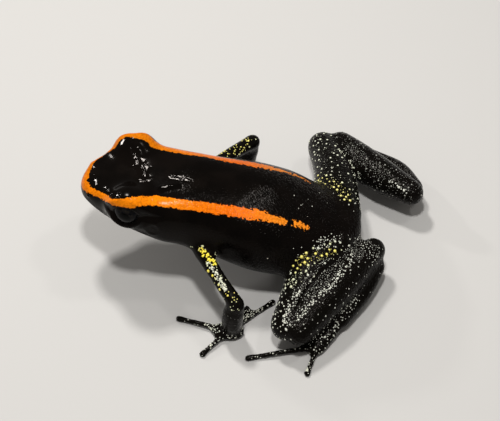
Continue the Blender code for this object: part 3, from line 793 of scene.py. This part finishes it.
def mark_skin(data):
    """Stores on the skin's points where its colours, granules and water lie."""
    places, edges = places_of(data), edges_of(data)
    outward = normals_of(data)
    parts = nearest_parts(places)
    head = spread(belongs(parts, "head"), edges, HEAD_EDGE_ROUNDS)
    limb = spread(~belongs(parts, "head", "torso"), edges, LIMB_EDGE_ROUNDS)
    fields = granule_fields(places, parts, outward)
    store(data, "stripe", stripe_depth(places))
    for column, (name, unit_size) in enumerate(FIELDS.items()):
        store(data, name, fields[:, column] * unit_size)
    film, facing = water_on(places, outward)
    store(data, "film", film)
    wet_way = data.attributes.new("facing", "FLOAT_VECTOR", "POINT")
    wet_way.data.foreach_set("vector", facing.astype(np.float32).ravel())
    store(data, "wet", head * smooth_step(*WET_EDGE, outward[:, 2]))
    store(data, "limb", limb)
    store(data, "belly", smooth_step(*BELLY_EDGE, outward[:, 2]) * (1 - limb))


mark_skin(skin_data)
skin_data.transform(Matrix.Scale(MM, 4) @ Matrix.Translation(SHIFT))
skin_data.shade_smooth()
skin = add_object("skin", skin_data)

# How the skin's own map is cut up: the sharpest turn inside one island, in radians, and the gap between two.
ISLAND_ANGLE = 1.15
ISLAND_MARGIN = 0.002


def unwrap(obj):
    """Gives a piece the map that its finish is kept on."""
    obj.data.uv_layers.new(name="OFBake")
    bpy.ops.object.select_all(action="DESELECT")
    obj.select_set(True)
    bpy.context.view_layer.objects.active = obj
    bpy.ops.object.mode_set(mode="EDIT")
    bpy.ops.mesh.select_all(action="SELECT")
    bpy.ops.uv.smart_project(angle_limit=ISLAND_ANGLE, island_margin=ISLAND_MARGIN, scale_to_bounds=True)
    bpy.ops.object.mode_set(mode="OBJECT")


unwrap(skin)


# Building blocks for node trees

class Tree:
    """A short way to write node trees: each call adds a node and links or sets its inputs."""

    def __init__(self, tree):
        self.tree = tree

    def node(self, kind, inputs=(), **settings):
        node = self.tree.nodes.new(kind)
        for name, value in settings.items():
            setattr(node, name, value)
        self.fill(node, dict(inputs))
        return node

    def first(self, kind, inputs=(), **settings):
        return self.node(kind, inputs, **settings).outputs[0]

    def fill(self, node, inputs):
        for key, value in inputs.items():
            self.feed(node.inputs[key], value)

    def feed(self, socket, value):
        if isinstance(value, bpy.types.NodeSocket):
            self.tree.links.new(value, socket)
        else:
            socket.default_value = value

    def math(self, operation, first, second=0.0, clamp=False):
        inputs = {0: first, 1: second}
        return self.first("ShaderNodeMath", inputs, operation=operation, use_clamp=clamp)

    def product(self, first, second):
        return self.math("MULTIPLY", first, second)

    def less(self, first, second):
        return self.math("SUBTRACT", first, second)

    def scaled(self, vector, factor):
        return self.first("ShaderNodeVectorMath", {0: vector, "Scale": factor}, operation="SCALE")

    def total(self, first, second):
        return self.first("ShaderNodeVectorMath", {0: first, 1: second}, operation="ADD")

    def step(self, value, low, high, start=0.0, end=1.0):
        inputs = {"Value": value, "From Min": low, "From Max": high, "To Min": start, "To Max": end}
        return self.node("ShaderNodeMapRange", inputs, interpolation_type="SMOOTHSTEP").outputs["Result"]

    def mix(self, share, first, second):
        inputs = {"Factor": share, 6: first, 7: second}
        return self.node("ShaderNodeMix", inputs, data_type="RGBA").outputs[2]

    def noise(self, place, scale, detail=2.0, roughness=0.5):
        inputs = {"Vector": place, "Scale": scale, "Detail": detail, "Roughness": roughness}
        return self.node("ShaderNodeTexNoise", inputs).outputs["Fac"]

    def bump(self, height, distance, normal):
        inputs = {"Height": height, "Strength": 1.0, "Distance": distance, "Normal": normal}
        return self.first("ShaderNodeBump", inputs)

    def attribute(self, name, output="Fac"):
        return self.node("ShaderNodeAttribute", attribute_name=name).outputs[output]

    def place(self):
        return self.node("ShaderNodeTexCoord").outputs["Object"]


# The middle of the values that a noise gives.
NOISE_MIDDLE = 0.5


def colour(red, green, blue):
    return (red, green, blue, 1.0)


def new_material(name):
    material = bpy.data.materials.new(name)
    material.use_nodes = True
    shader = material.node_tree.nodes["Principled BSDF"]
    return material, Tree(material.node_tree), shader


def new_group(name, kind, inputs, outputs):
    """A node group with these named sockets, its tree, its input values and its end node."""
    group = bpy.data.node_groups.new(name, kind)
    for way, sockets in (("INPUT", inputs), ("OUTPUT", outputs)):
        for label, value in sockets.items():
            group.interface.new_socket(label, in_out=way, socket_type="NodeSocket" + value)
    tree = Tree(group)
    return group, tree, tree.node("NodeGroupInput").outputs, tree.node("NodeGroupOutput")


# Pebbles of the skin, in metres: the two sizes, how high each stands, and how far their outlines are warped.
PEBBLE_SIZE = 0.00019
PEBBLE_HEIGHT = 0.000027
FINE_PEBBLE_SIZE = 0.00012
FINE_PEBBLE_HEIGHT = 0.000006
PEBBLE_WARP = 0.00007
PEBBLE_WARP_SCALE = 1500.0
PEBBLE_DOME = (0.75, 0.1)


def pebble_group():
    """Rounded pebbles of frog skin: their height from 0 to 1, and a value of its own for each."""
    group, tree, given, result = new_group("pebbles", "ShaderNodeTree", {"Place": "Vector", "Size": "Float"},
                                           {"Height": "Float", "Chance": "Float"})
    place = given["Place"]
    warp = tree.node("ShaderNodeTexNoise", {"Vector": place, "Scale": PEBBLE_WARP_SCALE, "Detail": 2.0})
    moved = tree.total(place, tree.scaled(warp.outputs["Color"], PEBBLE_WARP))
    scale = tree.math("DIVIDE", 1.0, given["Size"])
    cell = tree.node("ShaderNodeTexVoronoi", {"Vector": moved, "Scale": scale, "Randomness": 1.0})
    dome = tree.step(cell.outputs["Distance"], *PEBBLE_DOME)
    chance = tree.first("ShaderNodeSeparateColor", {0: cell.outputs["Color"]})
    tree.fill(result, {"Height": dome, "Chance": chance})
    return group


PEBBLES = pebble_group()


def add_pebbles(tree, place, size):
    node = tree.node("ShaderNodeGroup", {"Place": place, "Size": size}, node_tree=PEBBLES)
    return node.outputs["Height"], node.outputs["Chance"]


# The colours of the skin.
ORANGE_SNOUT = colour(0.8, 0.2, 0.002)
ORANGE_HEAD = colour(1.0, 0.26, 0.004)
ORANGE_BACK = colour(1.0, 0.15, 0.003)
ORANGE_REAR = colour(0.98, 0.28, 0.015)
BLACK_DEEP = colour(0.0022, 0.0017, 0.0014)
BLACK_PALER = colour(0.0042, 0.003, 0.0024)
BLACK_LIMBS = colour(0.0034, 0.0029, 0.0022)
MARBLING_BLUE = colour(0.03, 0.055, 0.062)
MARBLING_SHARE = 0.75
STRIPE_SHADES = (0.88, 1.06)
# Painted shade: the orange is darkened to these shares in the low gaps between the pebbles.
PEBBLE_GAP_PAINTED_SHADES = (0.8, 1.0)
# Painted shade: the stripe on the frog's right, the far side, is darkened to this share.
FAR_SIDE_PAINTED_SHADE = 0.68

# The stretches, in metres of x or y, over which one look gives way to the next.
SNOUT_TO_HEAD = (-0.0145, -0.01)
HEAD_TO_BACK = (-0.009, 0.002)
BACK_TO_REAR = (-0.002, 0.003)
EVEN_TO_RAGGED = (-0.006, 0.006)
SMOOTH_TO_PEBBLED = (-0.003, 0.003)
# Over this stretch of y the painted shade on the far side's stripe comes in.
NEAR_TO_PAINTED_FAR_SHADE = (-0.001, 0.003)

# The stripe's edge in mm: how soft it is, how far it wanders, and how ragged it is in front and at the rear.
STRIPE_RIM = (-0.015, 0.035)
STRIPE_WANDER = 0.3
STRIPE_RAGGED = (0.1, 0.4)

# The values of a pattern between which its two looks change over.
STRIPE_SHADE_EDGE = (0.3, 0.75)
PEBBLE_GAP_EDGE = (0.0, 0.35)
BLOTCH_EDGE = (0.35, 0.7)
MARBLING_EDGE = (0.52, 0.62)
WETNESS_EDGE = (0.0, 0.8)

# How fine each pattern is, as noise cells in a metre.
WANDER_SCALE = 2600.0
STRIPE_SHADE_SCALE = 1800.0
BLOTCH_SCALE = 450.0
MARBLING_SCALE = 700.0
WATER_SWELL_SCALE = 480.0
WATER_RIDGE_SCALE = 900.0

# The water's forms in metres, the skin's gloss, and how strongly the pebbles show.
WATER_SWELL = 0.00016
WATER_RIDGE = 0.00002
RIDGE_EDGE = 0.08
ROUGHNESS_DRY = 0.17
ROUGHNESS_WET = 0.15
FILM_SMOOTHING = 0.12
ROUGHNESS_WANDER = 0.1
SKIN_GLOSS = 0.058
GLOSS_TINT = colour(1.0, 0.92, 0.87)
WET_PEBBLE_LOSS = 0.9
FRONT_PEBBLES = 0.25
STRIPE_PEBBLES = 1.6


def stripe_mask(tree, x, wander, chance):
    """Where the stripes are. Their edges wander a little, and more where the skin is pebbled."""
    ragged = tree.product(tree.less(chance, NOISE_MIDDLE), tree.step(x, *EVEN_TO_RAGGED, *STRIPE_RAGGED))
    edge = tree.math("ADD", tree.product(wander, STRIPE_WANDER), ragged)
    return tree.step(tree.math("ADD", tree.attribute("stripe"), edge), *STRIPE_RIM)


def stripe_colour(tree, place, x, y, pebble):
    """Orange, deeper along the back and mottled, with painted shade in the gaps between the pebbles and on the
    stripe of the far (right) side.
    """
    orange = tree.mix(tree.step(x, *SNOUT_TO_HEAD), ORANGE_SNOUT, ORANGE_HEAD)
    orange = tree.mix(tree.step(x, *HEAD_TO_BACK), orange, ORANGE_BACK)
    orange = tree.mix(tree.step(x, *BACK_TO_REAR), orange, ORANGE_REAR)
    mottling = tree.noise(place, STRIPE_SHADE_SCALE, detail=3.0)
    shade = tree.step(mottling, *STRIPE_SHADE_EDGE, *STRIPE_SHADES)
    # Painted shade: the stripe on the far (right) side is darkened.
    shade = tree.product(shade, tree.step(y, *NEAR_TO_PAINTED_FAR_SHADE, 1.0, FAR_SIDE_PAINTED_SHADE))
    # Painted shade: the orange is darker where the pebbles are low, in the gaps between them.
    between = tree.step(pebble, *PEBBLE_GAP_EDGE, *PEBBLE_GAP_PAINTED_SHADES)
    return tree.scaled(orange, tree.product(between, shade))


def black_colour(tree, place):
    """Blotched black, another black on the limbs, and blue marbling on the belly."""
    blotch = tree.noise(place, BLOTCH_SCALE, detail=3.0)
    black = tree.mix(tree.step(blotch, *BLOTCH_EDGE), BLACK_DEEP, BLACK_PALER)
    black = tree.mix(tree.attribute("limb"), black, BLACK_LIMBS)
    veins = tree.step(tree.noise(place, MARBLING_SCALE, detail=4.0, roughness=0.6), *MARBLING_EDGE)
    marbling = tree.product(tree.product(tree.attribute("belly"), veins), MARBLING_SHARE)
    return tree.mix(marbling, black, MARBLING_BLUE)


def water_normal(tree, place, film):
    """The levelled skin under a film of water that swells and has fine ridges."""
    lumps = tree.less(tree.noise(place, WATER_SWELL_SCALE, detail=1.5, roughness=0.4), NOISE_MIDDLE)
    swell = tree.bump(tree.product(lumps, film), WATER_SWELL, tree.attribute("facing", "Vector"))
    crease = tree.less(tree.noise(place, WATER_RIDGE_SCALE, detail=0.5), NOISE_MIDDLE)
    ridge = tree.step(tree.math("ABSOLUTE", crease), 0.0, RIDGE_EDGE, 1.0, 0.0)
    return tree.bump(tree.product(ridge, film), WATER_RIDGE, swell)


def skin_material():
    """Wet black skin with orange stripes. It is a mirror on the head and finely pebbled towards the rear."""
    material, tree, shader = new_material("black_skin")
    place = tree.place()
    apart = tree.node("ShaderNodeSeparateXYZ", {0: place})
    x, y = apart.outputs["X"], apart.outputs["Y"]
    wet, film = tree.attribute("wet"), tree.attribute("film")
    pebble, chance = add_pebbles(tree, place, PEBBLE_SIZE)
    fine_pebble = add_pebbles(tree, place, FINE_PEBBLE_SIZE)[0]
    wander = tree.less(tree.noise(place, WANDER_SCALE, detail=3.0), NOISE_MIDDLE)
    stripe = stripe_mask(tree, x, wander, chance)
    orange = stripe_colour(tree, place, x, y, pebble)
    skin_colour = tree.mix(stripe, black_colour(tree, place), orange)
    rough = tree.step(wet, *WETNESS_EDGE, ROUGHNESS_DRY, ROUGHNESS_WET)
    rough = tree.less(rough, tree.product(film, FILM_SMOOTHING))
    rough = tree.math("ADD", rough, tree.product(wander, ROUGHNESS_WANDER), clamp=True)
    rear = tree.product(tree.step(x, *SMOOTH_TO_PEBBLED), 1.0 - FRONT_PEBBLES)
    grain = tree.product(pebble, tree.math("ADD", rear, FRONT_PEBBLES))
    grain = tree.product(grain, tree.step(stripe, 0.0, 1.0, 1.0, STRIPE_PEBBLES))
    dry = tree.less(1.0, tree.product(wet, WET_PEBBLE_LOSS))
    dry = tree.product(dry, tree.less(1.0, film))
    normal = water_normal(tree, place, film)
    normal = tree.bump(tree.product(grain, dry), PEBBLE_HEIGHT, normal)
    normal = tree.bump(tree.product(fine_pebble, dry), FINE_PEBBLE_HEIGHT, normal)
    tree.fill(shader, {"Base Color": skin_colour, "Roughness": rough, "Specular IOR Level": SKIN_GLOSS,
                       "Specular Tint": GLOSS_TINT, "Normal": normal})
    return material


# The colours of the granules, and the tints between which one gives way to the next.
GRANULE_GREY = colour(0.17, 0.165, 0.15)
GRANULE_DULL = colour(0.56, 0.58, 0.5)
GRANULE_WHITE = colour(0.92, 0.92, 0.81)
GRANULE_CREAM = colour(0.8, 0.82, 0.5)
GRANULE_YELLOW = colour(1.0, 0.83, 0.05)
GREY_TO_PALE = (-0.3, 0.0)
PALE_TO_CREAM = (0.05, 0.5)
CREAM_TO_YELLOW = (0.5, 1.0)
GRANULE_ROUGHNESS = 0.25
GRANULE_TONE_SCALE = 900.0


def granule_material():
    """Smooth pale granules, from dim grey over white with a touch of green to yellow."""
    material, tree, shader = new_material("pale_granules")
    tint = tree.attribute("yellow")
    tone = tree.mix(tree.noise(tree.place(), GRANULE_TONE_SCALE), GRANULE_DULL, GRANULE_WHITE)
    tone = tree.mix(tree.step(tint, *GREY_TO_PALE), GRANULE_GREY, tone)
    tone = tree.mix(tree.step(tint, *PALE_TO_CREAM), tone, GRANULE_CREAM)
    tone = tree.mix(tree.step(tint, *CREAM_TO_YELLOW), tone, GRANULE_YELLOW)
    tree.fill(shader, {"Base Color": tone, "Roughness": GRANULE_ROUGHNESS})
    return material


skin_data.materials.append(skin_material())


# Granules by geometry nodes

# A granule's height over its radius, how much smaller or larger than its kind it can be, and how many faces
# it has round and up.
GRANULE_FLATNESS = 0.5
GRANULE_SPREAD = (0.65, 1.3)
GRANULE_SEGMENTS = 6
GRANULE_RINGS = 4
# How wide a granule's patch is on the skin's own map.
GRANULE_PATCH = 0.003
# The two sizes of granules: their spacing in metres, how many are tried on a square metre, and their seed.
GRANULE_SIZES = {"spot": (0.0004, 2.2e7, 5), "speck": (0.00013, 6.0e7, 7)}


def granule_tree():
    """Small domes scattered over the skin by its density, each laid on the skin's own map at its root."""
    group, tree, given, result = new_group("granules", "GeometryNodeTree", {
        "Skin": "Geometry", "Spacing": "Float", "Peak": "Float", "Flatness": "Float", "Seed": "Int",
        "Amount": "String", "Size": "String", "Finish": "Material"}, {"Granules": "Geometry"})

    def named(name, kind="FLOAT"):
        return tree.first("GeometryNodeInputNamedAttribute", {"Name": name}, data_type=kind)

    def kept(geometry, name, value, kind="FLOAT_VECTOR", domain="POINT"):
        inputs = {"Geometry": geometry, "Name": name, "Value": value}
        return tree.first("GeometryNodeStoreNamedAttribute", inputs, data_type=kind, domain=domain)

    scatter = tree.node("GeometryNodeDistributePointsOnFaces", {
        "Mesh": given["Skin"], "Distance Min": given["Spacing"], "Density Max": given["Peak"],
        "Density Factor": named(given["Amount"]), "Seed": given["Seed"]}, distribute_method="POISSON")
    roots = kept(scatter.outputs["Points"], "root", named("OFBake", "FLOAT_VECTOR"))
    ball = tree.first("GeometryNodeMeshUVSphere", {
        "Segments": GRANULE_SEGMENTS, "Rings": GRANULE_RINGS, "Radius": 1.0})
    dome = kept(ball, "own", tree.first("GeometryNodeInputPosition"))
    smallest, largest = GRANULE_SPREAD
    chance = tree.node("FunctionNodeRandomValue", {2: smallest, 3: largest, "Seed": given["Seed"]},
                       data_type="FLOAT")
    size = tree.product(named(given["Size"]), chance.outputs[1])
    height = tree.product(size, given["Flatness"])
    scale = tree.first("ShaderNodeCombineXYZ", {"X": size, "Y": size, "Z": height})
    placed = tree.first("GeometryNodeInstanceOnPoints", {
        "Points": roots, "Instance": dome, "Rotation": scatter.outputs["Rotation"], "Scale": scale})
    solid = tree.first("GeometryNodeRealizeInstances", {"Geometry": placed})
    spot = tree.total(named("root", "FLOAT_VECTOR"),
                      tree.scaled(named("own", "FLOAT_VECTOR"), GRANULE_PATCH / 2))
    mapped = kept(solid, "OFBake", spot, "FLOAT2", "CORNER")
    smooth = tree.first("GeometryNodeSetShadeSmooth", {"Geometry": mapped})
    dressed = tree.first("GeometryNodeSetMaterial", {"Geometry": smooth, "Material": given["Finish"]})
    tree.fill(result, {"Granules": dressed})
    return group


def grow_granules(tree, source, kind, finish):
    """The granules of one size on the skin, as one piece."""
    spacing, peak, seed = GRANULE_SIZES[kind]
    rough = add_object("rough", source.data.copy())
    scatter = rough.modifiers.new("granules", "NODES")
    scatter.node_group = tree
    settings = {"Spacing": spacing, "Peak": peak, "Flatness": GRANULE_FLATNESS, "Seed": seed,
                "Amount": kind + "s", "Size": kind + "_size", "Finish": finish}
    for socket in tree.interface.items_tree:
        if socket.in_out == "INPUT" and socket.name in settings:
            scatter[socket.identifier] = settings[socket.name]
    data = result_of(rough)
    for name in [item.name for item in data.attributes]:
        needed = name in ("yellow", "OFBake") or name.startswith(".") or data.attributes[name].is_required
        if not needed:
            data.attributes.remove(data.attributes[name])
    data.materials.clear()
    data.materials.append(finish)
    data.name = kind + "s"
    return add_object(kind + "s", data)


GRANULE_TREE = granule_tree()
GRANULE_FINISH = granule_material()
granules = [grow_granules(GRANULE_TREE, skin, kind, GRANULE_FINISH) for kind in GRANULE_SIZES]


# Eyes

# The colours of the eye, and where each ends, as a share of the way from the pupil's middle to the iris's
# edge.
IRIS_DARK = colour(0.002, 0.0025, 0.004)
IRIS_BRONZE = colour(0.012, 0.01, 0.008)
PUPIL = colour(0.001, 0.001, 0.001)
EYE_RIM = colour(0.003, 0.003, 0.004)
PUPIL_EDGE = (0.36, 0.44)
IRIS_RIM = (0.8, 1.0)
THREAD_SCALE = 5200.0
THREAD_EDGE = (0.35, 0.7)
EYE_ROUGHNESS = 0.05
EYE_GLOSS = 0.06
EYE_SEGMENTS = 64
EYE_RINGS = 40


def eye_material():
    """A nearly black eye: a dark iris with faint bronze threads round a black pupil, under a wet surface."""
    material, tree, shader = new_material("eye")
    disc = tree.attribute("iris")
    threads = tree.noise(tree.place(), THREAD_SCALE, detail=3.0, roughness=0.6)
    iris = tree.mix(tree.step(threads, *THREAD_EDGE), IRIS_DARK, IRIS_BRONZE)
    iris = tree.mix(tree.step(disc, *PUPIL_EDGE), PUPIL, iris)
    iris = tree.mix(tree.step(disc, *IRIS_RIM), iris, EYE_RIM)
    tree.fill(shader, {"Base Color": iris, "Roughness": EYE_ROUGHNESS, "Specular IOR Level": EYE_GLOSS})
    return material


EYE_FINISH = eye_material()


def make_eye(side):
    """An eyeball with a slightly raised cornea, its pole turned to the opening."""
    mesh = bmesh.new()
    bmesh.ops.create_uvsphere(mesh, u_segments=EYE_SEGMENTS, v_segments=EYE_RINGS, radius=1.0)
    out, along, up = eye_axes(side)
    disc = []
    for vert in mesh.verts:
        angle = math.degrees(math.acos(max(-1.0, min(1.0, vert.co.z))))
        disc.append(angle / IRIS_EDGE)
        vert.co *= EYE_RADIUS + CORNEA_BULGE * max(0.0, 1 - (angle / CORNEA_EDGE) ** 2)
    turn = Matrix((along, up, out)).transposed()
    if turn.determinant() < 0:
        turn = Matrix((-along, up, out)).transposed()
    bmesh.ops.transform(mesh, matrix=turn.to_4x4(), verts=mesh.verts)
    bmesh.ops.translate(mesh, verts=mesh.verts, vec=EYE_PLACE[side] + SHIFT)
    bmesh.ops.scale(mesh, verts=mesh.verts, vec=(MM, MM, MM))
    data = finished_mesh(mesh, "eyeball_" + side)
    store(data, "iris", disc)
    data.shade_smooth()
    data.materials.append(EYE_FINISH)
    return add_object("eyeball_" + side, data)


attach(skin, "root")
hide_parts(*FLESH)
for piece in granules:
    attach(piece, "root")
for side in SIGN:
    eye = make_eye(side)
    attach(eye, "root")
    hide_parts("eye_" + side)


# The studio

FLOOR_WIDTH = 2.0
FLOOR_GREY = colour(0.56, 0.55, 0.535)
FLOOR_ROUGHNESS = 0.75
ROOM_LIGHT = colour(1.0, 0.96, 0.91)
ROOM_STRENGTH = 0.2
WARM = (1.0, 0.98, 0.95)
# Square lamps: the way to each from the frog, its distance, width, power and colour.
LIGHTS = {
    "key": ((-0.235, 0.4, 0.885), 160, 18.0, 0.15, WARM),
    "side": ((-0.76, 0.48, 0.44), 180, 10.5, 0.05, WARM),
    "rear": ((0.42, 0.15, 0.9), 180, 14, 0.025, WARM),
    "front": ((-0.5, -0.7, 0.5), 200, 110, 0.012, (1.0, 0.97, 0.93)),
    "flash": ((0.0, -0.2, 0.98), 180, 15.5, 0.175, (1.0, 0.99, 0.97)),
}


def add_floor():
    material, tree, shader = new_material("floor")
    tree.fill(shader, {"Base Color": FLOOR_GREY, "Roughness": FLOOR_ROUGHNESS})
    bpy.ops.mesh.primitive_plane_add(size=FLOOR_WIDTH)
    floor = bpy.context.object
    floor.name = "floor"
    floor.data.materials.append(material)


def light_room():
    world = bpy.data.worlds.new("studio")
    bpy.context.scene.world = world
    world.use_nodes = True
    background = world.node_tree.nodes["Background"]
    background.inputs["Color"].default_value = ROOM_LIGHT
    background.inputs["Strength"].default_value = ROOM_STRENGTH
    bpy.context.scene.view_settings.view_transform = "Standard"


for name, settings in LIGHTS.items():
    add_light(name, *settings)
add_floor()
light_room()
